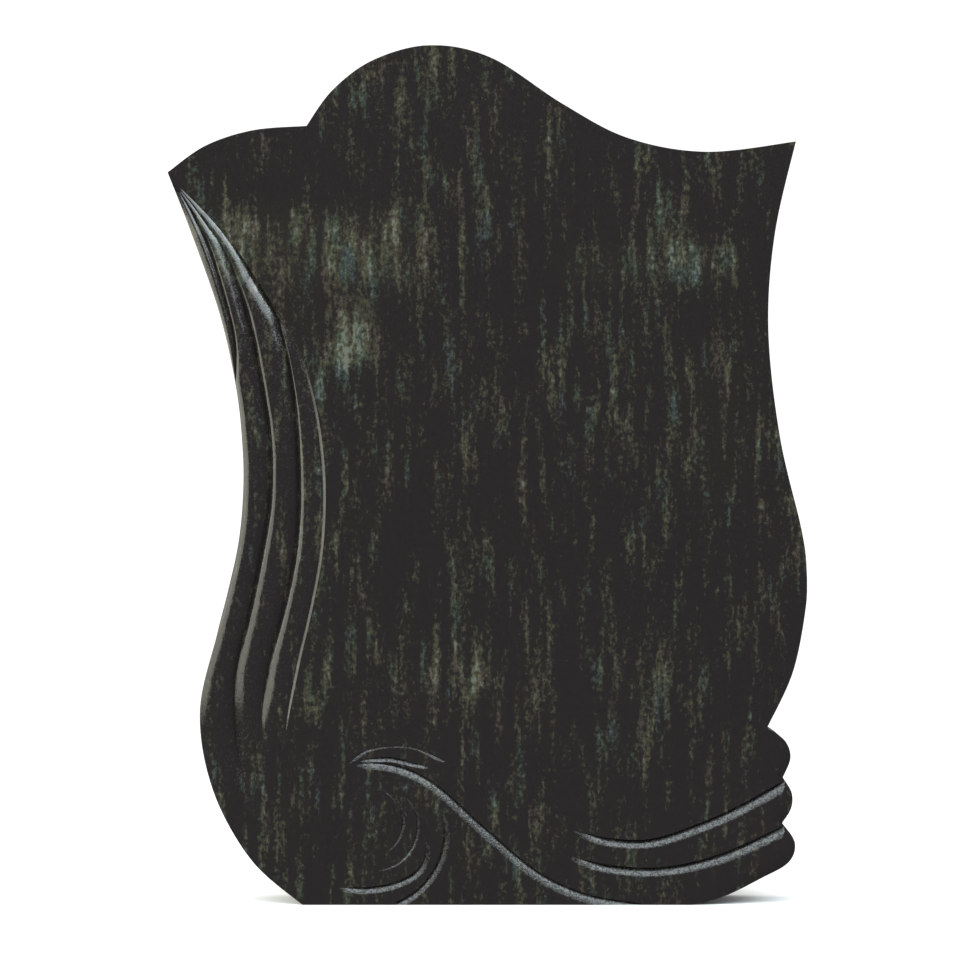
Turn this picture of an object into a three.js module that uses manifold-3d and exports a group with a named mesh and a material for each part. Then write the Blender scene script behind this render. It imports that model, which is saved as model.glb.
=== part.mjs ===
// Headstone: one upright slab of polished dark granite with a free curved outline.
// Flutes run down its left side, and its foot carries a scroll, a wave and a small crest.
// Millimetres, +Z up. The carved face looks towards -Y and the underside lies on Z = 0.

import * as THREE from 'three';
import { mergeVertices } from 'three/addons/utils/BufferGeometryUtils.js';
import Module from 'manifold-3d';

// Size of the slab
const WIDTH = 640;
const HEIGHT = 860;
const THICKNESS = 100;
const ARRIS = 2; // flat worked on every edge of the face and of the back

// Flutes down the left side
const FLUTE_DEPTH = 6.5; // depth of the valley between two rolls
const STEEPNESS = 0.5; // deepest valley allowed, as a share of the narrower roll beside it
const STEEPNESS_AT_TIP = 0.3;
const MERGING = 12; // a roll narrower than this sinks into the valleys on both sides of it
const ROLL_SKIM = 0.4; // the crests of the rolls lie this far behind the face
const SIDE_ROUNDING = 5; // how far the outer roll has turned back at the side of the slab
const INNER_DEPTH = 2.2; // depth of the innermost valley
const INNER_AT_TIP = 0.15; // share of that depth it has at the tip, where it starts shallow
const INNER_WALL = 3.2; // width of the slope from the innermost valley up to the flat panel

// Cut lines of the foot: a steep lip on one side, a rounded shoulder on the other
const LIP = 1.2;
const WAVE_DEPTH = 4.5;
const WAVE_REACH = 15;
const WAVE_REACH_START = 11;
const CREST_DEPTH = 2.5;
const CREST_REACH = 7;
const STRAND_DEPTH = 3.2;
const STRAND_REACH = 14;
const STRAND_REACH_START = 12;
const RING_DEPTH = 3;
const RING_REACH = 10;
const INNER_RING_DEPTH = 1.2;
const INNER_RING_REACH = 6;

// Rounding of the three lobes at the lower right
const LOBE_ROUNDING = 4;
const LOBE_REACH = 14;
const CLEFT_REACH = 6; // the same rounding, carried round the clefts between the lobes

const PROUD = 0.4; // a cut runs out this far in front of the face where it ends
const FRONT = -THICKNESS / 2;
const CLEARANCE = 12; // the cutting bodies reach this far in front of the face
const OVERCUT = 8; // the fan's cutting body reaches this far beyond the side of the slab

// A place on the face from its share across the width and up the height, both in percent
const at = ([across, up]) =>
  new THREE.Vector2((across / 100 - 0.5) * WIDTH, (up / 100) * HEIGHT);
const through = (places) => new THREE.SplineCurve(places.map(at));

// Outline, clockwise from the left tip
const shoulder = through([[0, 85.2], [5.9, 88.3], [13.3, 90.1], [21.7, 90.6]]);
const crown = through([
  [21.7, 90.6], [25.8, 94.8], [32.2, 98.3], [41.1, 100], [50.7, 98.5],
  [61.7, 93.2], [72, 89.2], [84.2, 87.6], [98.2, 88.8],
]);
const rightSide = through([
  [98.2, 88.8], [94.9, 78], [93.9, 66.9], [95.7, 54.5], [99.1, 43.6],
  [99.9, 38.8], [99.7, 34.3], [97.7, 27], [93.7, 20.6],
]);
const upperLobe = through([[93.7, 20.6], [96.5, 19.1], [97.4, 17.1], [96.2, 14.8]]);
const middleLobe = through([[96.2, 14.8], [97.6, 13], [97.5, 11.2], [96.1, 9.5]]);
const lowerLobe = through([
  [96.1, 9.5], [98.1, 7.2], [97.1, 4.9], [92.9, 3.1], [87, 1], [81.7, 0],
]);
const leftSide = through([
  [21.1, 0], [13.1, 5.2], [7.1, 13.3], [5, 22.4], [7.7, 31.5], [9.4, 36.5], [11.1, 42.4],
  [11.8, 48.5], [11.6, 54.1], [10.6, 60.5], [8, 69], [3.4, 78.7], [0, 85.2],
]);

// Valleys of the flutes, from the left tip down
const innerValley = through([
  [0.5, 84.5], [8.2, 79], [14.5, 72], [18.5, 67.5], [20.7, 63.7], [22.6, 58.7], [23.7, 54],
  [24.3, 48.4], [23.9, 41.5], [22.3, 34.7], [20.2, 27.9], [18.6, 21], [18.3, 14.2], [19.8, 7.3],
]);
const secondValley = through([
  [0.5, 84.5], [8, 78.8], [13.9, 72.7], [16.9, 68.8], [17.9, 66.3], [19, 62.5], [20, 56.5],
  [20.4, 47.8], [19.8, 40.9], [18, 34.3], [15.7, 27.6], [14.8, 21.3], [15.7, 15.1], [18.2, 7.3],
]);
const thirdValley = through([
  [0.5, 84.5], [5.9, 79.4], [9.1, 75.6], [12.6, 68], [14.7, 60.2], [15.9, 53.5], [15.8, 46.7],
  [14.4, 40.1], [12.6, 33.5], [10.6, 27], [10.5, 20.2], [12.2, 13.6], [15.8, 7.3],
]);
const outerValley = through([
  [0.5, 84.5], [3.9, 80.5], [6.6, 76.2], [9.4, 69.2], [10.5, 65.1], [10.6, 60.5],
]);

// Lines of the foot
const scrollStrand = through([
  [28.1, 16.2], [34.5, 16.4], [41.3, 14.3], [49.3, 9.1], [57.7, 3.9], [65.4, 1.2], [73.8, 0.1],
]);
const crestOver = through([[27.9, 16.1], [31.4, 18], [37.9, 18.3], [44.2, 16.4]]);
const crestUnder = through([[29.2, 16.6], [34.9, 17.1], [41.8, 15.7]]);
const upperWave = through([
  [62.3, 8.9], [68.7, 7.7], [75.7, 7.6], [83.5, 9.5], [90.2, 11.8], [97.3, 14.8],
]);
const lowerWave = through([[61.4, 6], [68.7, 4.6], [77.3, 4.3], [86.7, 5.9], [97.3, 9.5]]);

// An arc of the scroll: its centre as a place, its radius as a share of the width in percent,
// and the angles in degrees at which it starts and ends, running clockwise
const arc = (centre, radius, from, to) => {
  const middle = at(centre);
  return new THREE.ArcCurve(
    middle.x, middle.y, (radius / 100) * WIDTH,
    THREE.MathUtils.degToRad(from), THREE.MathUtils.degToRad(to), true,
  );
};
const scrollRings = [
  arc([31.2, 8.5], 12, 18, -68),
  through([[39.3, 9.4], [40.4, 6.6], [39.3, 4.2], [36.1, 2.7], [31.6, 2], [25.4, 2]]),
  arc([32.1, 9.1], 6.9, 56, -116),
  arc([31.1, 9.6], 5.6, 76, -86),
];

const clamp01 = (value) => THREE.MathUtils.clamp(value, 0, 1);
const smooth = (value) => clamp01(value) ** 2 * (3 - 2 * clamp01(value));
const lerp = THREE.MathUtils.lerp;

// Takes the solid of a closed buffer geometry over into the joining and cutting library
const wasm = await Module();
wasm.setup();
const solidOf = (geometry) => {
  const bare = geometry.clone();
  bare.deleteAttribute('normal');
  bare.deleteAttribute('uv');
  const merged = mergeVertices(bare, 1e-4);
  return new wasm.Manifold(new wasm.Mesh({
    numProp: 3,
    vertProperties: new Float32Array(merged.attributes.position.array),
    triVerts: new Uint32Array(merged.index.array),
  }));
};

// Six times the volume inside a closed set of triangles, negative when they face inwards
function signedVolume(positions, index) {
  let total = 0;
  for (let i = 0; i < index.length; i += 3) {
    const [a, b, c] = [0, 1, 2].map((k) =>
      new THREE.Vector3().fromArray(positions, index[i + k] * 3));
    total += a.dot(b.cross(c));
  }
  return total;
}

// A cutting body over a grid of places: each has x, z and the depth it cuts behind the face.
// Rows run along the cut, columns run across it.
function cutter(rows) {
  const count = rows.length;
  const wide = rows[0].length;
  const positions = [];
  for (const lid of [false, true]) {
    for (const row of rows) {
      for (const place of row) {
        positions.push(place.x, FRONT + (lid ? -CLEARANCE : place.depth), place.z);
      }
    }
  }
  const floor = (j, i) => j * wide + i;
  const lid = (j, i) => count * wide + j * wide + i;
  const index = [];
  const quad = (a, b, c, d) => index.push(a, b, c, a, c, d);
  for (let j = 0; j + 1 < count; j += 1) {
    for (let i = 0; i + 1 < wide; i += 1) {
      quad(floor(j, i), floor(j, i + 1), floor(j + 1, i + 1), floor(j + 1, i));
      quad(lid(j, i), lid(j + 1, i), lid(j + 1, i + 1), lid(j, i + 1));
    }
    quad(floor(j, 0), floor(j + 1, 0), lid(j + 1, 0), lid(j, 0));
    quad(floor(j + 1, wide - 1), floor(j, wide - 1), lid(j, wide - 1), lid(j + 1, wide - 1));
  }
  for (let i = 0; i + 1 < wide; i += 1) {
    quad(floor(0, i + 1), floor(0, i), lid(0, i), lid(0, i + 1));
    quad(floor(count - 1, i), floor(count - 1, i + 1), lid(count - 1, i + 1), lid(count - 1, i));
  }
  if (signedVolume(positions, index) < 0) {
    index.reverse();
  }
  return new wasm.Manifold(new wasm.Mesh({
    numProp: 3,
    vertProperties: new Float32Array(positions),
    triVerts: new Uint32Array(index),
  }));
}

// Cross-section of a cut line: offsets across it, as shares of its reach, beyond the lip
const SHOULDER_STEPS = [0, 0.12, 0.27, 0.46, 0.7, 1];
const SHOULDER_POWER = 2.2;
const roundedDepth = (deepest, offset) =>
  (deepest + PROUD) * (1 - offset) ** SHOULDER_POWER - PROUD;

// Cuts along a line. The rounded shoulder lies to the right of the way the line runs, or to
// its left with side = -1. Depth and reach come as functions of the share of the length.
function lineCut(curve, pitch, side, depthAt, reachAt) {
  const steps = Math.ceil(curve.getLength() / pitch);
  const rows = [];
  for (let j = 0; j <= steps; j += 1) {
    const share = j / steps;
    const point = curve.getPointAt(share);
    const tangent = curve.getTangentAt(share);
    const right = new THREE.Vector2(tangent.y, -tangent.x).multiplyScalar(side);
    const depth = depthAt(share);
    const reach = reachAt(share);
    const row = [{ x: point.x - right.x * LIP, z: point.y - right.y * LIP, depth: -PROUD }];
    for (const step of SHOULDER_STEPS) {
      row.push({
        x: point.x + right.x * reach * step,
        z: point.y + right.y * reach * step,
        depth: roundedDepth(depth, step),
      });
    }
    rows.push(row);
  }
  return cutter(rows);
}

// A depth that rises over the first share of a line and falls again over its last share
const swell = (depth, rise, fall) => (share) => {
  const start = rise > 0 ? smooth(share / rise) : 1;
  const end = fall > 0 ? smooth((1 - share) / fall) : 1;
  return depth * start * end - PROUD * 0.8 * (1 - start * end);
};

// A swell that is shallower half-way along, by the given share of its depth
const dipping = (depth, rise, fall, middle) => {
  const ends = swell(depth, rise, fall);
  return (share) => ends(share) * lerp(middle, 1, Math.abs(2 * share - 1) ** 3);
};

// Cross-section of a lobe's rounding, from just outside the outline inwards
const ROUNDING_STEPS = [-0.25, 0, 0.14, 0.32, 0.55, 1];
const ROUNDING_PITCH = 8;

// Rounds the face over towards a stretch of the outline that runs clockwise.
// The drop at the outline comes as a function of the share of the length.
function roundOver(curve, dropAt, reach) {
  const steps = Math.ceil(curve.getLength() / ROUNDING_PITCH);
  const rows = [];
  for (let j = 0; j <= steps; j += 1) {
    const point = curve.getPointAt(j / steps);
    const tangent = curve.getTangentAt(j / steps);
    const inward = new THREE.Vector2(tangent.y, -tangent.x);
    const drop = dropAt(j / steps);
    rows.push(ROUNDING_STEPS.map((offset) => ({
      x: point.x + inward.x * reach * offset,
      z: point.y + inward.y * reach * offset,
      depth: roundedDepth(drop, offset),
    })));
  }
  return cutter(rows);
}

// Carries the rounding of two neighbouring lobes round the cleft between them, in a fan of
// rows that turns about a point just outside the cleft
const CLEFT_STEPS = [0.05, 0.2, 0.45, 0.7, 1];
const CLEFT_TURNS = 6;
const CLEFT_OUTSIDE = 0.8;
function cleftCut(before, after, drop, reach) {
  const cleft = after.getPointAt(0);
  const [from, to] = [before.getTangentAt(1), after.getTangentAt(0)].map((way) =>
    Math.atan2(-way.x, way.y));
  const end = to < from ? to + 2 * Math.PI : to;
  const rows = [];
  for (let j = 0; j <= CLEFT_TURNS; j += 1) {
    const angle = lerp(from, end, j / CLEFT_TURNS);
    rows.push(CLEFT_STEPS.map((offset) => ({
      x: cleft.x + CLEFT_OUTSIDE + Math.cos(angle) * reach * offset,
      z: cleft.y + Math.sin(angle) * reach * offset,
      depth: roundedDepth(drop, offset),
    })));
  }
  return cutter(rows);
}

// Distance across at a given height, on a line that only falls or only rises
function acrossAtHeight(curve, height) {
  const falling = curve.getPoint(0).y > curve.getPoint(1).y;
  let low = 0;
  let high = 1;
  for (let i = 0; i < 40; i += 1) {
    const middle = (low + high) / 2;
    const above = curve.getPoint(middle).y > height;
    if (above === falling) {
      low = middle;
    } else {
      high = middle;
    }
  }
  return curve.getPoint((low + high) / 2).x;
}

// Where the outline's rounding and each valley, outermost first, run out towards the foot:
// the height at which the cut has ended and the length over which it fades, in percent
const FLUTE_ENDS = [[8.5, 17], [40, 5], [8, 13], [15, 12], [16, 11]];
const POWER = 2.7; // how square the rolls are: 2 is a parabola, more is flatter on top
const POWER_AT_TIP = 1.7;
const POWER_AT_FOOT = 2;
const CREST_AT_FOOT = 0.6; // place of a roll's crest between its two valleys
const CREST_AT_TIP = 0.22;
const LEAST_ROLL = 0.4; // neighbouring lines of the fan stay this far apart

// Heights between which the fan runs, and stretches over which it changes on its way up:
// where each starts and how long it is, in percent of the height
const FAN_TOP = 84.4;
const FAN_BOTTOM = 7.6;
const TIP_FADE = 1.5;
const OUTER_VALLEY_END = 60.5; // where the outermost valley reaches the side of the slab
const SQUARER = [25, 12];
const LEANING = [20, 50];
const INNER_SHALLOWER = [61, 9];
const NEAR_TIP = [62, 12];
const over = ([start, length], level) => smooth((level - start) / length);

// The fan of flutes: level by level, rolls between the outline and the four valleys
function fluteCut() {
  const levels = 54;
  const rollSteps = 6;
  const rows = [];
  for (let j = 0; j <= levels; j += 1) {
    const level = lerp(FAN_TOP, FAN_BOTTOM, j / levels);
    const height = (level / 100) * HEIGHT;
    const edge = acrossAtHeight(leftSide, height);
    const inner = acrossAtHeight(innerValley, height);
    const second = acrossAtHeight(secondValley, height);
    const third = acrossAtHeight(thirdValley, height);
    const outer = level > OUTER_VALLEY_END ? acrossAtHeight(outerValley, height) : edge;
    const lines = [edge, outer, third, second, inner];
    for (let i = 1; i < lines.length; i += 1) {
      lines[i] = Math.max(lines[i], lines[i - 1] + LEAST_ROLL);
    }
    const tip = smooth((FAN_TOP - level) / TIP_FADE);
    const nearTip = over(NEAR_TIP, level);
    const steepness = lerp(STEEPNESS, STEEPNESS_AT_TIP, nearTip);
    const upright = lerp(POWER_AT_FOOT, POWER, over(SQUARER, level));
    const power = lerp(upright, POWER_AT_TIP, nearTip);
    const lean = lerp(CREST_AT_FOOT, CREST_AT_TIP, over(LEANING, level));
    const innerDepth = INNER_DEPTH * lerp(1, INNER_AT_TIP, over(INNER_SHALLOWER, level));
    const deepest = [SIDE_ROUNDING, FLUTE_DEPTH, FLUTE_DEPTH, FLUTE_DEPTH, innerDepth];
    const fade = FLUTE_ENDS.map((end) => tip * over(end, level));
    const roll = [0, 1, 2, 3].map((i) => lines[i + 1] - lines[i]);
    const merged = roll.map((wide, i) => (i === 0 || i === 3 ? 1 - clamp01(wide / MERGING) : 0));
    const narrower = [
      roll[0] + roll[1],
      roll[0],
      Math.min(roll[1], roll[2]),
      lerp(Math.min(roll[2], roll[3]), roll[2], merged[3]),
      lerp(roll[3], roll[2], merged[3]),
    ];
    const valley = deepest.map((depth, i) =>
      lerp(-PROUD, Math.min(depth, steepness * narrower[i]), fade[i]));
    valley[1] = lerp(valley[1], valley[0], merged[0]);
    const row = [{ x: edge - OVERCUT, z: height, depth: valley[0] + SIDE_ROUNDING }];
    for (let i = 0; i + 1 < lines.length; i += 1) {
      const skim = lerp(-PROUD, ROLL_SKIM, Math.max(fade[i], fade[i + 1]));
      const peak = i === 0 ? 0.5 : lean;
      // a merged roll is no more than the slope between the valleys beside it
      const crest = lerp(skim, lerp(valley[i], valley[i + 1], peak), merged[i]);
      const sides = [valley[i], valley[i + 1]].map((side) =>
        lerp(Math.max(side, crest), side, merged[i]));
      const steps = i === 0 ? 4 : rollSteps;
      for (let k = 0; k < steps; k += 1) {
        const t = (2 * k) / steps - 1; // from -1 at one valley through 0 on the crest
        const side = t < 0 ? sides[0] : sides[1];
        row.push({
          x: lerp(lines[i], lines[i + 1], t < 0 ? peak * (1 + t) : lerp(peak, 1, t)),
          z: height,
          depth: lerp(crest, side, Math.abs(t) ** power),
        });
      }
    }
    row.push({ x: lines[4], z: height, depth: valley[4] });
    row.push({ x: lines[4] + INNER_WALL * lerp(0.3, 1, fade[4]), z: height, depth: -PROUD });
    rows.push(row);
  }
  return cutter(rows);
}

// The plain slab: the outline drawn out through the thickness, with its arrises
function slab() {
  const outline = [];
  const pieces = [
    [shoulder, 11], [crown, 40], [rightSide, 34], [upperLobe, 9],
    [middleLobe, 8], [lowerLobe, 16], [leftSide, 46],
  ];
  for (const [curve, parts] of pieces) {
    const points = curve.getSpacedPoints(parts);
    const last = curve === lowerLobe ? points : points.slice(0, -1);
    outline.push(...last);
  }
  const shape = new THREE.Shape(outline.map((point) => new THREE.Vector2(point.x, point.y)));
  const geometry = new THREE.ExtrudeGeometry(shape, {
    depth: THICKNESS - 2 * ARRIS,
    bevelEnabled: true,
    bevelThickness: ARRIS,
    bevelSize: ARRIS,
    bevelOffset: -ARRIS,
    bevelSegments: 1,
    steps: 1,
  });
  geometry.translate(0, 0, ARRIS - THICKNESS / 2);
  geometry.rotateX(Math.PI / 2);
  return solidOf(geometry);
}

const WAVE_PITCH = 10;
const RING_PITCH = 9;
const wholeLength = (value) => () => value;
const widening = (start, end) => (share) => lerp(start, end, share);

const cuts = [
  fluteCut(),
  lineCut(scrollStrand, WAVE_PITCH, 1, swell(STRAND_DEPTH, 0.12, 0),
    widening(STRAND_REACH_START, STRAND_REACH)),
  lineCut(crestOver, RING_PITCH, 1, dipping(CREST_DEPTH, 0.2, 0.2, 0.08), wholeLength(CREST_REACH)),
  lineCut(crestUnder, RING_PITCH, 1, swell(CREST_DEPTH, 0.35, 0.35), wholeLength(CREST_REACH)),
  lineCut(upperWave, WAVE_PITCH, 1, swell(WAVE_DEPTH, 0.22, 0),
    widening(WAVE_REACH_START, WAVE_REACH)),
  lineCut(lowerWave, WAVE_PITCH, 1, swell(WAVE_DEPTH, 0.22, 0),
    widening(WAVE_REACH_START, WAVE_REACH)),
  lineCut(scrollRings[0], RING_PITCH, -1, swell(RING_DEPTH, 0.3, 0), wholeLength(RING_REACH)),
  lineCut(scrollRings[1], RING_PITCH, -1, swell(RING_DEPTH, 0.45, 0.25), wholeLength(RING_REACH)),
  ...scrollRings.slice(2).map((ring) =>
    lineCut(ring, RING_PITCH, -1, swell(INNER_RING_DEPTH, 0.3, 0.6), wholeLength(INNER_RING_REACH))),
  roundOver(upperLobe, swell(LOBE_ROUNDING, 0.5, 0), LOBE_REACH),
  roundOver(middleLobe, wholeLength(LOBE_ROUNDING), LOBE_REACH),
  roundOver(lowerLobe, swell(LOBE_ROUNDING, 0, 0.6), LOBE_REACH),
  cleftCut(upperLobe, middleLobe, LOBE_ROUNDING, CLEFT_REACH),
  cleftCut(middleLobe, lowerLobe, LOBE_ROUNDING, CLEFT_REACH),
];
const carved = cuts.reduce((body, cut) => body.subtract(cut), slab());

const mesh = carved.getMesh();
const geometry = new THREE.BufferGeometry();
const corners = new Float32Array(mesh.numVert * 3);
for (let i = 0; i < mesh.numVert; i += 1) {
  for (let k = 0; k < 3; k += 1) {
    corners[i * 3 + k] = mesh.vertProperties[i * mesh.numProp + k];
  }
}
geometry.setAttribute('position', new THREE.BufferAttribute(corners, 3));
geometry.setIndex(new THREE.BufferAttribute(new Uint32Array(mesh.triVerts), 1));

const granite = new THREE.MeshStandardMaterial({ color: 0x2b2a2b, roughness: 0.2 });
const headstone = new THREE.Mesh(geometry, granite);
headstone.name = 'headstone';

const part = new THREE.Group();
part.name = 'headstone_part';
part.add(headstone);

export default part;
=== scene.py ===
import math

import bmesh
import bpy
import numpy as np
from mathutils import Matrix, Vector


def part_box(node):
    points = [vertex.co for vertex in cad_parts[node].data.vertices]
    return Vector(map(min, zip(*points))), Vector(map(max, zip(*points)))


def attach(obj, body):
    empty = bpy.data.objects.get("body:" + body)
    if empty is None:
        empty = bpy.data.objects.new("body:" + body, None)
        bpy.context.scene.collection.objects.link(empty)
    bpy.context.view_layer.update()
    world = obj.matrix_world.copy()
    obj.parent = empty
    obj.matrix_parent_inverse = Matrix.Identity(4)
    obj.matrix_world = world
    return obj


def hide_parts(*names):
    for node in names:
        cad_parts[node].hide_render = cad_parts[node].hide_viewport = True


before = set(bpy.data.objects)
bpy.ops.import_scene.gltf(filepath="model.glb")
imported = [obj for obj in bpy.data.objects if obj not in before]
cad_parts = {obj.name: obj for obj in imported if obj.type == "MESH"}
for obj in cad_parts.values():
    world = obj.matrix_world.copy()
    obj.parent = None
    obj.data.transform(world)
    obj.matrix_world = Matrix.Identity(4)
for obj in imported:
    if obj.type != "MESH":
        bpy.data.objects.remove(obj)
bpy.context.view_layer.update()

LOW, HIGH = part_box("headstone")

# Slab, in metres like every length below
WIDTH = 0.640
HEIGHT = 0.860
FRONT, BACK = LOW.y, HIGH.y
ARRIS, ARRIS_STEPS = 0.002, 3
TIP_EASE, TIP_STEPS = 0.0006, 5  # rounding of the two outstanding tips
PATCH = 0.0397  # the flat face is laid out in patches of this size
FLAT = 0.999  # least share of a face's normal that points to the front on the flat face
WELD = 2e-6  # corners closer than this are one after the cuts
HAIR = 1e-6  # lengths below this count as nothing
AT_FOOT = 0.0005  # a face that looks down and lies this low is the underside
SHARP = math.radians(33)  # an edge is shaded sharp from this angle on
EVENNESS = 80  # pull of the large faces on the shading of the small ones beside them

# Fan of flutes: its five lines are the side of the slab and the four valleys, from the left
FLUTE_DEPTH = 0.0065  # of the second, third and fourth line
SIDE_ROUNDING = 0.005  # how far the outermost roll has turned back at the side
INNER_DEPTH = 0.0022  # of the innermost valley
STEEPNESS_AT_TIP, STEEPNESS = 0.3, 0.5  # deepest valley, as a share of the narrower roll beside it
MERGING = 0.012  # a roll narrower than this sinks into the valleys on both sides of it
LEAST_ROLL = 0.0004  # neighbouring lines stay this far apart
ROLL_SKIM = 0.0004  # the crests of the rolls lie this far behind the face
INNER_AT_TIP = 0.15  # share of its depth that the innermost valley has at the tip
INNER_WALL, WALL_AT_ENDS = 0.0032, 0.3  # slope up to the flat panel, and its share at the ends
POWER_AT_TIP, POWER, POWER_AT_FOOT = 1.7, 2.7, 2.0  # how square the rolls are
CREST_AT_TIP, CREST_AT_FOOT = 0.22, 0.60  # place of a roll's crest between its two valleys
OUTER_CREST = 0.5  # the same for the outermost roll, from tip to foot
OVERCUT, OVERCUT_DROP = 0.008, 0.005  # how far the cut goes on beyond the side, and drops there
FAN_LEVELS, ROLL_STEPS = 190, 14

# Heights on the fan, in percent. A pair is a start and the length over which a change is made;
# a length below zero leads downwards.
FAN_TOP, FAN_BOTTOM = 84.4, 7.6
TIP_FADE = (FAN_TOP, -1.5)  # all five lines deepen here, from the tip down
FLUTE_ENDS = [(8.5, 17), (40, 5), (8, 13), (15, 12), (16, 11)]  # each line deepens here, going up
OUTER_VALLEY_END = 60.5  # where the outermost valley reaches the side of the slab
NEAR_TIP = (62, 12)  # steepness and power change to those at the tip
SQUARER = (25, 12)  # the power changes from that at the foot
LEANING = (20, 50)  # the crests move from their place at the foot to that at the tip
INNER_DEEPER = (70, -9)  # the innermost valley reaches its full depth

# Cut lines, lobes and clefts
LIP = 0.0012  # width of the steep side of a cut line
WAVE_DEPTH, WAVE_REACH, WAVE_REACH_START = 0.0045, 0.015, 0.011
CREST_DEPTH, CREST_REACH = 0.0025, 0.007
STRAND_DEPTH, STRAND_REACH, STRAND_REACH_START = 0.0032, 0.014, 0.012
RING_DEPTH, RING_REACH = 0.003, 0.010
INNER_RING_DEPTH, INNER_RING_REACH = 0.0012, 0.006
LOBE_ROUNDING, LOBE_REACH, CLEFT_REACH = 0.004, 0.014, 0.006
CLEFT_OUTSIDE, CLEFT_ROWS = 0.0008, 13  # a cleft's cut turns about a point this far outside
LINE_PITCH = 0.003
SHOULDER_POWER = 2.2  # how round the shoulders are: 2 is a parabola
SHOULDER_STEPS = np.array([0, 0.04, 0.09, 0.15, 0.22, 0.3, 0.38, 0.47, 0.57, 0.68, 0.8, 0.9, 1])
ROUNDING_STEPS = np.array([-0.25, 0, 0.07, 0.15, 0.24, 0.35, 0.47, 0.6, 0.75, 0.88, 1])
CLEFT_STEPS = np.array([0.05, 0.15, 0.3, 0.45, 0.6, 0.8, 1])

PROUD = 0.0004  # a cut runs out this far in front of the face across its width
RUN_OUT = PROUD * 0.8  # the same along its length
CLEARANCE = 0.012  # the cutting bodies reach this far in front of the face


# Lines on the face

def at(across, up):
    """A place on the face from its share across the width and up the height, in percent."""
    return (across / 100 - 0.5) * WIDTH, up / 100 * HEIGHT


def spline(places, parts=400):
    """A fine line through places on the face."""
    p = np.array([at(*q) for q in places])
    n = len(p)
    u = np.linspace(0, n - 1, parts + 1)
    i = np.minimum(u.astype(int), n - 2)
    t = (u - i)[:, None]
    a, b, c, d = p[np.maximum(i - 1, 0)], p[i], p[i + 1], p[np.minimum(i + 2, n - 1)]
    v0, v1 = (c - a) / 2, (d - b) / 2
    return (2 * b - 2 * c + v0 + v1) * t**3 + (3 * c - 3 * b - 2 * v0 - v1) * t**2 + v0 * t + b


def arc(centre, radius, start, end, parts=400):
    """A fine arc, clockwise, its radius a share of the width in percent."""
    angle = np.radians(np.linspace(start, end, parts + 1))
    middle = np.array(at(*centre))
    return middle + radius / 100 * WIDTH * np.stack([np.cos(angle), np.sin(angle)], 1)


def spaced(line, pitch=None, parts=None):
    """Evenly spaced places along a fine line, with the way the line runs at each."""
    step = np.linalg.norm(np.diff(line, axis=0), axis=1)
    run = np.concatenate([[0], np.cumsum(step)])
    parts = parts or max(2, math.ceil(run[-1] / pitch))
    s = np.linspace(0, run[-1], parts + 1)
    place = np.stack([np.interp(s, run, line[:, k]) for k in (0, 1)], 1)
    tangent = np.gradient(line, run, axis=0)
    tangent /= np.linalg.norm(tangent, axis=1)[:, None]
    way = np.stack([np.interp(s, run, tangent[:, k]) for k in (0, 1)], 1)
    way /= np.linalg.norm(way, axis=1)[:, None]
    return place, way, s / run[-1]


SHOULDER = spline([(0, 85.2), (5.9, 88.3), (13.3, 90.1), (21.7, 90.6)])
CROWN = spline([(21.7, 90.6), (25.8, 94.8), (32.2, 98.3), (41.1, 100), (50.7, 98.5),
                (61.7, 93.2), (72, 89.2), (84.2, 87.6), (98.2, 88.8)])
RIGHT_SIDE = spline([(98.2, 88.8), (94.9, 78), (93.9, 66.9), (95.7, 54.5), (99.1, 43.6),
                     (99.9, 38.8), (99.7, 34.3), (97.7, 27), (93.7, 20.6)])
UPPER_LOBE = spline([(93.7, 20.6), (96.5, 19.1), (97.4, 17.1), (96.2, 14.8)])
MIDDLE_LOBE = spline([(96.2, 14.8), (97.6, 13), (97.5, 11.2), (96.1, 9.5)])
LOWER_LOBE = spline([(96.1, 9.5), (98.1, 7.2), (97.1, 4.9), (92.9, 3.1), (87, 1), (81.7, 0)])
LEFT_SIDE = spline([(21.1, 0), (13.1, 5.2), (7.1, 13.3), (5, 22.4), (7.7, 31.5), (9.4, 36.5),
                    (11.1, 42.4), (11.8, 48.5), (11.6, 54.1), (10.6, 60.5), (8, 69),
                    (3.4, 78.7), (0, 85.2)])

INNER_VALLEY = spline([(0.5, 84.5), (8.2, 79), (14.5, 72), (18.5, 67.5), (20.7, 63.7),
                       (22.6, 58.7), (23.7, 54), (24.3, 48.4), (23.9, 41.5), (22.3, 34.7),
                       (20.2, 27.9), (18.6, 21), (18.3, 14.2), (19.8, 7.3)])
SECOND_VALLEY = spline([(0.5, 84.5), (8, 78.8), (13.9, 72.7), (16.9, 68.8), (17.9, 66.3),
                        (19, 62.5), (20, 56.5), (20.4, 47.8), (19.8, 40.9), (18, 34.3),
                        (15.7, 27.6), (14.8, 21.3), (15.7, 15.1), (18.2, 7.3)])
THIRD_VALLEY = spline([(0.5, 84.5), (5.9, 79.4), (9.1, 75.6), (12.6, 68), (14.7, 60.2),
                       (15.9, 53.5), (15.8, 46.7), (14.4, 40.1), (12.6, 33.5), (10.6, 27),
                       (10.5, 20.2), (12.2, 13.6), (15.8, 7.3)])
OUTER_VALLEY = spline([(0.5, 84.5), (3.9, 80.5), (6.6, 76.2), (9.4, 69.2), (10.5, 65.1),
                       (10.6, 60.5)])

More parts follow.
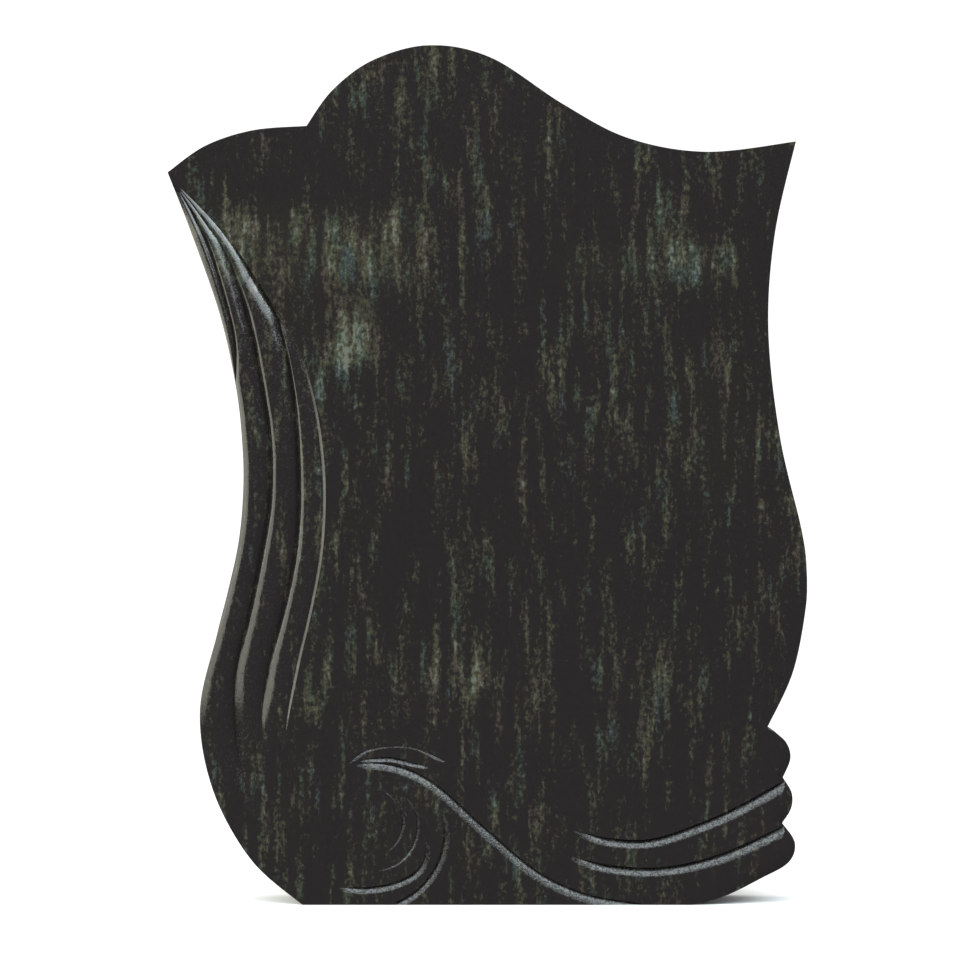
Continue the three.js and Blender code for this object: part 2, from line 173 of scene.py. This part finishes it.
SCROLL_STRAND = spline([(28.1, 16.2), (34.5, 16.4), (41.3, 14.3), (49.3, 9.1),
                        (57.7, 3.9), (65.4, 1.2), (73.8, 0.1)])
CREST_OVER = spline([(27.9, 16.1), (31.4, 18), (37.9, 18.3), (44.2, 16.4)])
CREST_UNDER = spline([(29.2, 16.6), (34.9, 17.1), (41.8, 15.7)])
UPPER_WAVE = spline([(62.3, 8.9), (68.7, 7.7), (75.7, 7.6), (83.5, 9.5), (90.2, 11.8),
                     (97.3, 14.8)])
LOWER_WAVE = spline([(61.4, 6), (68.7, 4.6), (77.3, 4.3), (86.7, 5.9), (97.3, 9.5)])
RINGS = [
    arc((31.2, 8.5), 12, 18, -68),
    spline([(39.3, 9.4), (40.4, 6.6), (39.3, 4.2), (36.1, 2.7), (31.6, 2), (25.4, 2)]),
    arc((32.1, 9.1), 6.9, 56, -116),
    arc((31.1, 9.6), 5.6, 76, -86),
]
# Each stretch of the outline, clockwise from the left tip, and the number of steps along it
OUTLINE = [(SHOULDER, 26), (CROWN, 96), (RIGHT_SIDE, 84), (UPPER_LOBE, 18),
           (MIDDLE_LOBE, 16), (LOWER_LOBE, 34), (LEFT_SIDE, 112)]


# Meshes

def smooth(value):
    """0 up to 0, 1 from 1 on, with a soft change between them."""
    value = np.clip(value, 0, 1)
    return value * value * (3 - 2 * value)


def lerp(a, b, t):
    return a + (b - a) * t


def over(stretch, level):
    """A soft change from 0 to 1 over a stretch of the fan, given as its start and its length."""
    start, length = stretch
    return smooth((level - start) / length)


def new_object(name, points, faces, material):
    mesh = bpy.data.meshes.new(name)
    mesh.from_pydata(points, [], faces)
    mesh.materials.append(material)
    obj = bpy.data.objects.new(name, mesh)
    bpy.context.scene.collection.objects.link(obj)
    return obj


def signed_volume(points, faces):
    """Six times the volume inside the faces, below zero where they are turned inside out."""
    p = np.array(points)
    total = 0.0
    for f in faces:
        for k in range(1, len(f) - 1):
            total += p[f[0]] @ np.cross(p[f[k]], p[f[k + 1]])
    return total


def cutter(x, z, depth, material):
    """A closed cutting body over a grid of places, from in front of the face to the given depth."""
    rows, wide = x.shape
    floor = np.stack([x, FRONT + depth, z], -1).reshape(-1, 3)
    lid = np.stack([x, np.full_like(x, FRONT - CLEARANCE), z], -1).reshape(-1, 3)
    points = np.concatenate([floor, lid])
    n = rows * wide
    faces = []
    for j in range(rows - 1):
        for i in range(wide - 1):
            a, b, c, d = j * wide + i, j * wide + i + 1, (j + 1) * wide + i + 1, (j + 1) * wide + i
            faces += [(a, b, c), (a, c, d), (n + a, n + d, n + c, n + b)]
        a, b = j * wide, (j + 1) * wide
        faces.append((a, b, n + b, n + a))
        a, b = a + wide - 1, b + wide - 1
        faces.append((b, a, n + a, n + b))
    for i in range(wide - 1):
        faces.append((i + 1, i, n + i, n + i + 1))
        a = n - wide + i
        faces.append((a, a + 1, n + a + 1, n + a))
    if signed_volume(points, faces) < 0:
        faces = [tuple(reversed(f)) for f in faces]
    return new_object("cut", points.tolist(), faces, material)


def line_cut(line, side, depth_at, reach_at, material):
    """A cut along a line: a steep lip on one side, a rounded shoulder on the other."""
    place, way, share = spaced(line, LINE_PITCH)
    right = side * np.stack([way[:, 1], -way[:, 0]], 1)
    depth = depth_at(share)[:, None]
    reach = reach_at(share)[:, None]
    offset = np.concatenate([np.full_like(reach, -LIP), reach * SHOULDER_STEPS], 1)
    below = (depth + PROUD) * (1 - SHOULDER_STEPS) ** SHOULDER_POWER - PROUD
    below = np.concatenate([np.full_like(depth, -PROUD), below], 1)
    x = place[:, :1] + right[:, :1] * offset
    z = place[:, 1:] + right[:, 1:] * offset
    return cutter(x, z, below, material)


def swell(depth, rise, fall):
    """A depth that rises over the first share of a line and falls again over its last share."""
    def at_share(share):
        start = smooth(share / rise) if rise else np.ones_like(share)
        end = smooth((1 - share) / fall) if fall else np.ones_like(share)
        return depth * start * end - RUN_OUT * (1 - start * end)
    return at_share


def dipping(depth, rise, fall, middle):
    """A swell that is shallower half-way along, by the given share of its depth."""
    ends = swell(depth, rise, fall)
    return lambda share: ends(share) * lerp(middle, 1, np.abs(2 * share - 1) ** 3)


def round_over(line, drop_at, reach, material):
    """Rounds the face over towards a stretch of the outline that runs clockwise."""
    place, way, share = spaced(line, LINE_PITCH)
    inward = np.stack([way[:, 1], -way[:, 0]], 1)
    drop = drop_at(share)[:, None]
    below = (drop + PROUD) * (1 - ROUNDING_STEPS) ** SHOULDER_POWER - PROUD
    x = place[:, :1] + inward[:, :1] * reach * ROUNDING_STEPS
    z = place[:, 1:] + inward[:, 1:] * reach * ROUNDING_STEPS
    return cutter(x, z, below, material)


def cleft_cut(before, after, drop, reach, material):
    """Carries the rounding of two neighbouring lobes round the cleft between them."""
    last_way = spaced(before, LINE_PITCH)[1][-1]
    place, way, _ = spaced(after, LINE_PITCH)
    turn = np.unwrap([math.atan2(-w[0], w[1]) for w in (last_way, way[0])])
    turn = np.linspace(turn[0], turn[1], CLEFT_ROWS)[:, None]
    middle = place[0] + [CLEFT_OUTSIDE, 0]
    below = (drop + PROUD) * (1 - CLEFT_STEPS) ** SHOULDER_POWER - PROUD
    x = middle[0] + np.cos(turn) * reach * CLEFT_STEPS
    z = middle[1] + np.sin(turn) * reach * CLEFT_STEPS
    return cutter(x, z, np.repeat(below[None, :], len(turn), 0), material)


def across(line, height):
    """Distance across at each height, on a line that only falls or only rises."""
    order = np.argsort(line[:, 1])
    return np.interp(height, line[order, 1], line[order, 0])


def flute_cut(material):
    """The fan of flutes: rolls between the side of the slab and the four valleys."""
    level = np.linspace(FAN_TOP, FAN_BOTTOM, FAN_LEVELS + 1)
    height = level / 100 * HEIGHT
    edge = across(LEFT_SIDE, height)
    outer = np.where(level > OUTER_VALLEY_END, across(OUTER_VALLEY, height), edge)
    line = [edge, outer, across(THIRD_VALLEY, height), across(SECOND_VALLEY, height),
            across(INNER_VALLEY, height)]
    for i in range(1, len(line)):
        line[i] = np.maximum(line[i], line[i - 1] + LEAST_ROLL)
    roll = np.diff(np.stack(line), axis=0)

    # only the outermost and the innermost roll may sink into the valleys beside them
    merged = [1 - np.clip(w / MERGING, 0, 1) if i in (0, 3) else 0 * w for i, w in enumerate(roll)]
    narrower = [roll[0] + roll[1], roll[0], np.minimum(roll[1], roll[2]),
                lerp(np.minimum(roll[2], roll[3]), roll[2], merged[3]),
                lerp(roll[3], roll[2], merged[3])]
    near_tip = over(NEAR_TIP, level)
    steepness = lerp(STEEPNESS, STEEPNESS_AT_TIP, near_tip)
    power = lerp(lerp(POWER_AT_FOOT, POWER, over(SQUARER, level)), POWER_AT_TIP, near_tip)
    lean = lerp(CREST_AT_FOOT, CREST_AT_TIP, over(LEANING, level))

    fade = [over(TIP_FADE, level) * over(stretch, level) for stretch in FLUTE_ENDS]
    deepest = [SIDE_ROUNDING, FLUTE_DEPTH, FLUTE_DEPTH, FLUTE_DEPTH,
               INNER_DEPTH * lerp(INNER_AT_TIP, 1, over(INNER_DEEPER, level))]
    valley = [lerp(-PROUD, np.minimum(d, steepness * w), f)
              for d, w, f in zip(deepest, narrower, fade)]
    valley[1] = lerp(valley[1], valley[0], merged[0])

    xs, depths = [edge - OVERCUT], [valley[0] + OVERCUT_DROP]
    for i in range(len(roll)):
        skim = lerp(-PROUD, ROLL_SKIM, np.maximum(fade[i], fade[i + 1]))
        peak = lean if i else OUTER_CREST
        # a merged roll is no more than the slope between the valleys beside it
        crest = lerp(skim, lerp(valley[i], valley[i + 1], peak), merged[i])
        sides = [lerp(np.maximum(side, crest), side, merged[i]) for side in valley[i:i + 2]]
        for k in range(ROLL_STEPS):
            # half of the steps lie on either side of the crest
            t = 2 * k / ROLL_STEPS - 1
            side = sides[0] if t < 0 else sides[1]
            share = peak * (1 + t) if t < 0 else lerp(peak, 1, t)
            xs.append(lerp(line[i], line[i + 1], share))
            depths.append(lerp(crest, side, abs(t) ** power))
    xs += [line[4], line[4] + INNER_WALL * lerp(WALL_AT_ENDS, 1, fade[4])]
    depths += [valley[4], np.full_like(edge, -PROUD)]
    x = np.stack(xs, 1)
    return cutter(x, np.repeat(height[:, None], x.shape[1], 1), np.stack(depths, 1), material)


def eased(outline, corners):
    """The outline with the given corners very slightly rounded."""
    result = []
    for k, p in enumerate(outline):
        if k not in corners:
            result.append(p)
            continue
        before = outline[k - 1] - p
        after = outline[(k + 1) % len(outline)] - p
        before, after = before / np.linalg.norm(before), after / np.linalg.norm(after)
        for t in np.linspace(0, 1, TIP_STEPS):
            result.append(p + TIP_EASE * ((1 - t) ** 2 * before + t * t * after))
    return np.array(result)


def slab(material):
    """The outline drawn out through the thickness, with every edge of face and back rounded."""
    outline, tips = [], []
    for line, parts in OUTLINE:
        place = spaced(line, parts=parts)[0]
        if line is SHOULDER or line is RIGHT_SIDE:
            tips.append(len(outline))
        # a stretch ends where the next one starts, but for the underside after the lowest lobe
        outline += list(place if line is LOWER_LOBE else place[:-1])
    outline = eased(np.array(outline), tips)
    outline[:, 0] = np.clip(outline[:, 0], LOW.x, HIGH.x)
    outline[:, 1] = np.clip(outline[:, 1], LOW.z, HIGH.z)
    n = len(outline)
    points = [(x, y, z) for y in (FRONT, BACK) for x, z in outline]
    faces = [tuple(range(n)), tuple(range(2 * n - 1, n - 1, -1))]
    faces += [(k, n + k, n + (k + 1) % n, (k + 1) % n) for k in range(n)]
    if signed_volume(points, faces) < 0:
        faces = [tuple(reversed(f)) for f in faces]
    body = new_object("headstone_slab", points, faces, material)
    bm = bmesh.new()
    bm.from_mesh(body.data)
    rim = [e for e in bm.edges if abs(e.verts[0].co.y - e.verts[1].co.y) < HAIR]
    bmesh.ops.bevel(bm, geom=rim, offset=ARRIS, segments=ARRIS_STEPS, profile=0.5,
                    affect="EDGES", clamp_overlap=True)
    for way, low, high in (((1, 0, 0), -WIDTH / 2, WIDTH / 2), ((0, 0, 1), 0, HEIGHT)):
        for k in range(math.ceil(low / PATCH), math.ceil(high / PATCH)):
            flat = [f for f in bm.faces if f.normal.y < -FLAT]
            edges = {e for f in flat for e in f.edges}
            corners = {v for f in flat for v in f.verts}
            bmesh.ops.bisect_plane(bm, geom=flat + list(edges | corners), dist=HAIR,
                                   plane_no=way, plane_co=[k * PATCH * part for part in way])
    bm.to_mesh(body.data)
    bm.free()
    return body


def carve(body, cuts):
    """Takes every cut out of the slab and shades the result smooth between its arrises."""
    for cut in cuts:
        step = body.modifiers.new("cut", "BOOLEAN")
        step.operation = "DIFFERENCE"
        step.solver = "MANIFOLD"
        step.material_mode = "TRANSFER"
        step.object = cut
        cut.hide_render = True
    bpy.context.view_layer.update()
    graph = bpy.context.evaluated_depsgraph_get()
    mesh = bpy.data.meshes.new_from_object(body.evaluated_get(graph), depsgraph=graph)
    body.modifiers.clear()
    body.data = mesh
    for cut in cuts:
        bpy.data.objects.remove(cut, do_unlink=True)
    bm = bmesh.new()
    bm.from_mesh(mesh)
    bmesh.ops.remove_doubles(bm, verts=bm.verts, dist=WELD)
    bmesh.ops.triangulate(bm, faces=[f for f in bm.faces if len(f.verts) > 4])
    for f in bm.faces:
        f.smooth = True
    for e in bm.edges:
        e.smooth = len(e.link_faces) == 2 and e.calc_face_angle(0) < SHARP
    bm.to_mesh(mesh)
    bm.free()
    weighted = body.modifiers.new("weighted", "WEIGHTED_NORMAL")
    weighted.mode = "FACE_AREA"
    weighted.weight = EVENNESS
    weighted.keep_sharp = True
    bpy.context.view_layer.update()
    graph = bpy.context.evaluated_depsgraph_get()
    mesh = bpy.data.meshes.new_from_object(body.evaluated_get(graph), depsgraph=graph)
    body.modifiers.clear()
    body.data = mesh


# Stone

BLACK, DARK_GRAIN = (0.0074, 0.0060, 0.0060, 1), (0.0090, 0.0077, 0.0073, 1)
# Paler ground between the grains in the patches of painted reflection
PAINTED_REFLECTION_GROUND = (0.0110, 0.0102, 0.0080, 1)
OLIVE, GREEN = (0.0285, 0.0270, 0.0170, 1), (0.0220, 0.0280, 0.0190, 1)
BLUE_GREEN, BROWN = (0.0215, 0.0275, 0.0262, 1), (0.0305, 0.0245, 0.0190, 1)
BRIGHT_OLIVE, BRIGHT_GREEN = (0.069, 0.068, 0.041, 1), (0.066, 0.072, 0.060, 1)
UNPOLISHED = (0.12, 0.12, 0.118, 1)
GRANITE_IOR = 1.54

# Painted reflection: patches of the face drawn paler, with the grains closer, where soft
# reflections lie: middle, half size, soft edge, strength
PAINTED_REFLECTION_PATCHES = [
    ((-0.175, 0.655), (0.105, 0.040), 0.022, 0.72),
    ((-0.132, 0.575), (0.024, 0.038), 0.010, 0.70),
    ((0.165, 0.640), (0.090, 0.020), 0.020, 0.62),
    ((0.222, 0.480), (0.032, 0.070), 0.022, 0.30),
]
PAINTED_REFLECTION_GRAINS, PAINTED_REFLECTION_PALING = 0.20, 0.6  # painted reflection: how much closer the grains lie in the patches, how much paler between them

# The density of the grains is the noise of the trails and these shares of three other noises
SPECKS, GRAINS, CLOUDS = 0.70, 0.30, 0.35
TINTED, BRIGHT = (1.20, 1.46), (1.40, 1.60)  # densities where grains begin to show, and show full


class Nodes:
    """Builds the nodes of one material."""

    def __init__(self, name):
        self.material = bpy.data.materials.new(name)
        self.material.use_nodes = True
        self.tree = self.material.node_tree
        self.tree.nodes.clear()
        self.coordinates = self.add("ShaderNodeTexCoord").outputs["Object"]
        self.axes = self.add("ShaderNodeSeparateXYZ", {"Vector": self.coordinates})

    def add(self, kind, inputs=None, **settings):
        node = self.tree.nodes.new(kind)
        for key, value in settings.items():
            setattr(node, key, value)
        for key, value in (inputs or {}).items():
            socket = node.inputs[key]
            if isinstance(value, bpy.types.NodeSocket):
                self.tree.links.new(value, socket)
            else:
                socket.default_value = value
        return node

    def place(self, size, shift=(0.0, 0.0, 0.0)):
        """The stone's own coordinates, in steps of the given sizes in millimetres."""
        scale = tuple(1000.0 / s for s in size)
        return self.add("ShaderNodeMapping", {"Vector": self.coordinates, "Scale": scale,
                                              "Location": shift}).outputs["Vector"]

    def noise(self, size, shift=(0.0, 0.0, 0.0), detail=2.0, rough=0.5):
        return self.add("ShaderNodeTexNoise", {
            "Vector": self.place(size, shift), "Scale": 1.0, "Detail": detail,
            "Roughness": rough}, noise_dimensions="3D").outputs["Fac"]

    def band(self, value, low, high, out_low=0.0, out_high=1.0):
        return self.add("ShaderNodeMapRange", {
            "Value": value, "From Min": low, "From Max": high, "To Min": out_low,
            "To Max": out_high}, interpolation_type="SMOOTHSTEP").outputs["Result"]

    def math(self, operation, *values):
        return self.add("ShaderNodeMath", dict(enumerate(values)),
                        operation=operation).outputs["Value"]

    def inside(self, axis, middle, half, soft):
        """1 within a stretch of the stone along one axis, falling to 0 over a soft edge."""
        away = self.math("ABSOLUTE", self.math("SUBTRACT", self.axes.outputs[axis], middle))
        return self.band(away, half + soft, half - soft)

    def mix(self, share, a, b):
        node = self.add("ShaderNodeMix", data_type="RGBA")
        for socket, value in (("Factor_Float", share), ("A_Color", a), ("B_Color", b)):
            target = next(s for s in node.inputs if s.identifier == socket)
            if isinstance(value, bpy.types.NodeSocket):
                self.tree.links.new(value, target)
            else:
                target.default_value = value
        return next(s for s in node.outputs if s.identifier == "Result_Color")


def granite(name, roughness, relief, grey=0.0, uneven=1.2, hand=0.0, dull=0.0, sparse=0.0):
    """Near-black granite with sparse upright trails of olive, green, blue-green and light-coloured
    grains, and painted reflection: soft patches of the stone drawn paler, with the grains closer.

    relief is the height of the grains and hand that of the waves that hand work leaves, both in
    millimetres. The roughness is divided and multiplied by uneven from place to place. dull is
    added to it on some crystals, and sparse makes these rarer. grey is a share of unpolished stone.
    """
    n = Nodes(name)
    grain = n.noise((1.5, 1.5, 1.9), detail=2.0, rough=0.6)
    speck = n.noise((4.2, 4.2, 6.0), (5, 9, 1), detail=2.0, rough=0.6)
    trail = n.noise((9.5, 9.5, 65), (11, 5, 2), detail=3.0, rough=0.55)
    cloud = n.noise((60, 60, 150), (3, 1, 7), detail=1.0)
    hue = n.noise((11, 11, 40), (31, 8, 21), detail=1.0)

    density = trail
    for value, weight in ((speck, SPECKS), (grain, GRAINS), (cloud, CLOUDS)):
        density = n.math("ADD", density, n.math("MULTIPLY", value, weight))
    # Painted reflection: soft patches where the grains lie closer and the ground is drawn paler
    painted_reflection = None
    for middle, half, soft, strength in PAINTED_REFLECTION_PATCHES:
        part = n.math("MULTIPLY", n.inside("X", middle[0], half[0], soft),
                      n.inside("Z", middle[1], half[1], soft))
        part = n.math("MULTIPLY", part, strength)
        painted_reflection = part if painted_reflection is None else n.math("MAXIMUM", painted_reflection, part)
    density = n.math("ADD", density, n.math("MULTIPLY", painted_reflection, PAINTED_REFLECTION_GRAINS))

    base = n.mix(n.band(grain, 0.3, 0.7), BLACK, DARK_GRAIN)
    # painted reflection: the ground is drawn paler in the patches
    base = n.mix(n.math("MULTIPLY", painted_reflection, PAINTED_REFLECTION_PALING), base, PAINTED_REFLECTION_GROUND)
    tint = n.mix(n.band(hue, 0.50, 0.60), OLIVE, GREEN)
    tint = n.mix(n.band(hue, 0.62, 0.70), tint, BLUE_GREEN)
    tint = n.mix(n.band(hue, 0.40, 0.33), tint, BROWN)
    bright = n.mix(n.band(speck, 0.4, 0.6), BRIGHT_OLIVE, BRIGHT_GREEN)
    colour = n.mix(n.band(density, *TINTED), base, tint)
    colour = n.mix(n.band(density, *BRIGHT), colour, bright)
    if grey:
        colour = n.mix(grey, colour, UNPOLISHED)

    rough = n.band(n.math("ADD", grain, speck), 0.75, 1.3, roughness / uneven, roughness * uneven)
    bump = n.add("ShaderNodeBump", {"Height": grain, "Strength": 1.0, "Distance": relief / 1000})
    if hand:
        wave = n.noise((9, 9, 26), (13, 4, 6), detail=1.5, rough=0.5)
        crystal = n.noise((2.2, 2.2, 2.2), (2, 7, 5), detail=1.0, rough=0.6)
        rough = n.math("ADD", rough, n.band(crystal, 0.47 + sparse, 0.58 + sparse, 0.0, dull))
        bump = n.add("ShaderNodeBump", {"Height": wave, "Strength": 1.0, "Distance": hand / 1000,
                                        "Normal": bump.outputs["Normal"]})
    shader = n.add("ShaderNodeBsdfPrincipled", {
        "Base Color": colour, "Roughness": rough, "Normal": bump.outputs["Normal"],
        "Specular IOR Level": 0.5, "IOR": GRANITE_IOR})
    n.add("ShaderNodeOutputMaterial", {"Surface": shader.outputs["BSDF"]})
    return n.material


polished = granite("granite_polished", 0.10, 0.01)
worked = granite("granite_worked", 0.10, 0.4, uneven=1.5, hand=0.3, dull=0.5)
fluted = granite("granite_fluted", 0.10, 0.10, uneven=1.4, hand=0.38, dull=0.16, sparse=0.06)
honed = granite("granite_honed_back", 0.42, 0.08, grey=0.10)
sawn = granite("granite_sawn_foot", 0.62, 0.18, grey=0.35)


# The headstone

def even(value):
    """A width that stays the same along a line."""
    return lambda share: np.full_like(share, value)


def widening(start, end):
    """A width that grows from the start of a line to its end."""
    return lambda share: lerp(start, end, share)


def is_back(face):
    return face.normal.y > 0.9


def is_underside(face):
    return face.normal.z < -0.99 and face.center.z < AT_FOOT


stone = slab(polished)
carve(stone, [
    flute_cut(fluted),
    line_cut(SCROLL_STRAND, 1, swell(STRAND_DEPTH, 0.12, 0),
             widening(STRAND_REACH_START, STRAND_REACH), worked),
    line_cut(CREST_OVER, 1, dipping(CREST_DEPTH, 0.2, 0.2, 0.08), even(CREST_REACH), worked),
    line_cut(CREST_UNDER, 1, swell(CREST_DEPTH, 0.35, 0.35), even(CREST_REACH), worked),
    line_cut(UPPER_WAVE, 1, swell(WAVE_DEPTH, 0.22, 0),
             widening(WAVE_REACH_START, WAVE_REACH), worked),
    line_cut(LOWER_WAVE, 1, swell(WAVE_DEPTH, 0.22, 0),
             widening(WAVE_REACH_START, WAVE_REACH), worked),
    line_cut(RINGS[0], -1, swell(RING_DEPTH, 0.3, 0), even(RING_REACH), worked),
    line_cut(RINGS[1], -1, swell(RING_DEPTH, 0.45, 0.25), even(RING_REACH), worked),
    line_cut(RINGS[2], -1, swell(INNER_RING_DEPTH, 0.3, 0.6), even(INNER_RING_REACH), worked),
    line_cut(RINGS[3], -1, swell(INNER_RING_DEPTH, 0.3, 0.6), even(INNER_RING_REACH), worked),
    round_over(UPPER_LOBE, swell(LOBE_ROUNDING, 0.5, 0), LOBE_REACH, polished),
    round_over(MIDDLE_LOBE, swell(LOBE_ROUNDING, 0, 0), LOBE_REACH, polished),
    round_over(LOWER_LOBE, swell(LOBE_ROUNDING, 0, 0.6), LOBE_REACH, polished),
    cleft_cut(UPPER_LOBE, MIDDLE_LOBE, LOBE_ROUNDING, CLEFT_REACH, polished),
    cleft_cut(MIDDLE_LOBE, LOWER_LOBE, LOBE_ROUNDING, CLEFT_REACH, polished),
])
for material in (honed, sawn):
    stone.data.materials.append(material)
slots = [material.name for material in stone.data.materials]
for face in stone.data.polygons:
    if is_back(face):
        face.material_index = slots.index(honed.name)
    elif is_underside(face):
        face.material_index = slots.index(sawn.name)
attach(stone, "root")
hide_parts("headstone")


# Floor, light and camera

FLOOR_RADIUS, FLOOR_MIDDLE, FLOOR_CORNERS = 1.5, 0.85, 96  # its middle lies behind the stone
FLOOR_GREY, FLOOR_PALE = (0.80, 0.80, 0.80, 1), (0.83, 0.83, 0.83, 1)
COOL, WARM, WHITE = (0.86, 0.96, 1.0), (1.0, 1.0, 0.84), (1, 1, 1, 1)
WORLD_LIGHT, WORLD_IN_STONE = 1.15, 0.12  # seen directly or as light, and as a reflection

# Lights: name, place, target, size, power and colour
LIGHTS = [
    ("top_light", (0.40, -3.0, 3.0), (0.40, 0.0, 0.4), (5.2, 3.2), 275, COOL),
    ("top_left_light", (-3.40, -3.0, 3.0), (-3.40, 0.0, 0.4), (2.4, 3.2), 88, COOL),
    ("right_light", (2.55, -2.0, 2.65), (-0.1, 0.0, 0.5), (2.4, 1.2), 45, COOL),
    ("left_light", (-1.685, -0.97, 0.76), (0, 0, 0.70), (1.05, 1.22), 11.5, WARM),
    ("rim_light", (-2.0, 0.35, 0.90), (0, 0, 0.85), (2.2, 1.7), 36, WARM),
]

# The camera sees this width at the face, straight on
LENS, SENSOR, VIEW_WIDTH = 150, 36, 0.96
VIEW_ACROSS, VIEW_UP = -0.0075, 0.425


def emitter(name, place, target, size, power, colour):
    data = bpy.data.lights.new(name, "AREA")
    data.shape = "RECTANGLE"
    data.size, data.size_y = size
    data.energy = power
    data.color = colour
    lamp = bpy.data.objects.new(name, data)
    lamp.location = place
    lamp.visible_camera = False
    lamp.rotation_euler = (Vector(target) - Vector(place)).to_track_quat("-Z", "Y").to_euler()
    bpy.context.scene.collection.objects.link(lamp)


ground = Nodes("pale_floor")
tone = ground.mix(ground.noise((40, 40, 40)), FLOOR_GREY, FLOOR_PALE)
matt = ground.add("ShaderNodeBsdfPrincipled", {"Base Color": tone, "Roughness": 0.9})
ground.add("ShaderNodeOutputMaterial", {"Surface": matt.outputs["BSDF"]})
turns = np.linspace(0, 2 * math.pi, FLOOR_CORNERS, endpoint=False)
rim = [(math.cos(a) * FLOOR_RADIUS, math.sin(a) * FLOOR_RADIUS + FLOOR_MIDDLE, 0) for a in turns]
floor = new_object("floor", rim, [tuple(range(FLOOR_CORNERS))], ground.material)
floor.visible_glossy = False

for light in LIGHTS:
    emitter(*light)

world = bpy.data.worlds.new("studio")
world.use_nodes = True
bpy.context.scene.world = world
tree = world.node_tree
tree.nodes.clear()
path = tree.nodes.new("ShaderNodeLightPath")
strength = tree.nodes.new("ShaderNodeMapRange")
strength.inputs["To Min"].default_value = WORLD_LIGHT
strength.inputs["To Max"].default_value = WORLD_IN_STONE
background = tree.nodes.new("ShaderNodeBackground")
background.inputs["Color"].default_value = WHITE
output = tree.nodes.new("ShaderNodeOutputWorld")
tree.links.new(path.outputs["Is Glossy Ray"], strength.inputs["Value"])
tree.links.new(strength.outputs["Result"], background.inputs["Strength"])
tree.links.new(background.outputs["Background"], output.inputs["Surface"])

lens = bpy.data.cameras.new("camera")
lens.lens = LENS
lens.sensor_width = SENSOR
lens.clip_end = 100
camera = bpy.data.objects.new("camera", lens)
camera.location = (VIEW_ACROSS, FRONT - VIEW_WIDTH * LENS / SENSOR, VIEW_UP)
camera.rotation_euler = (math.radians(90), 0, 0)
bpy.context.scene.collection.objects.link(camera)
bpy.context.scene.camera = camera
bpy.context.scene.view_settings.view_transform = "Standard"
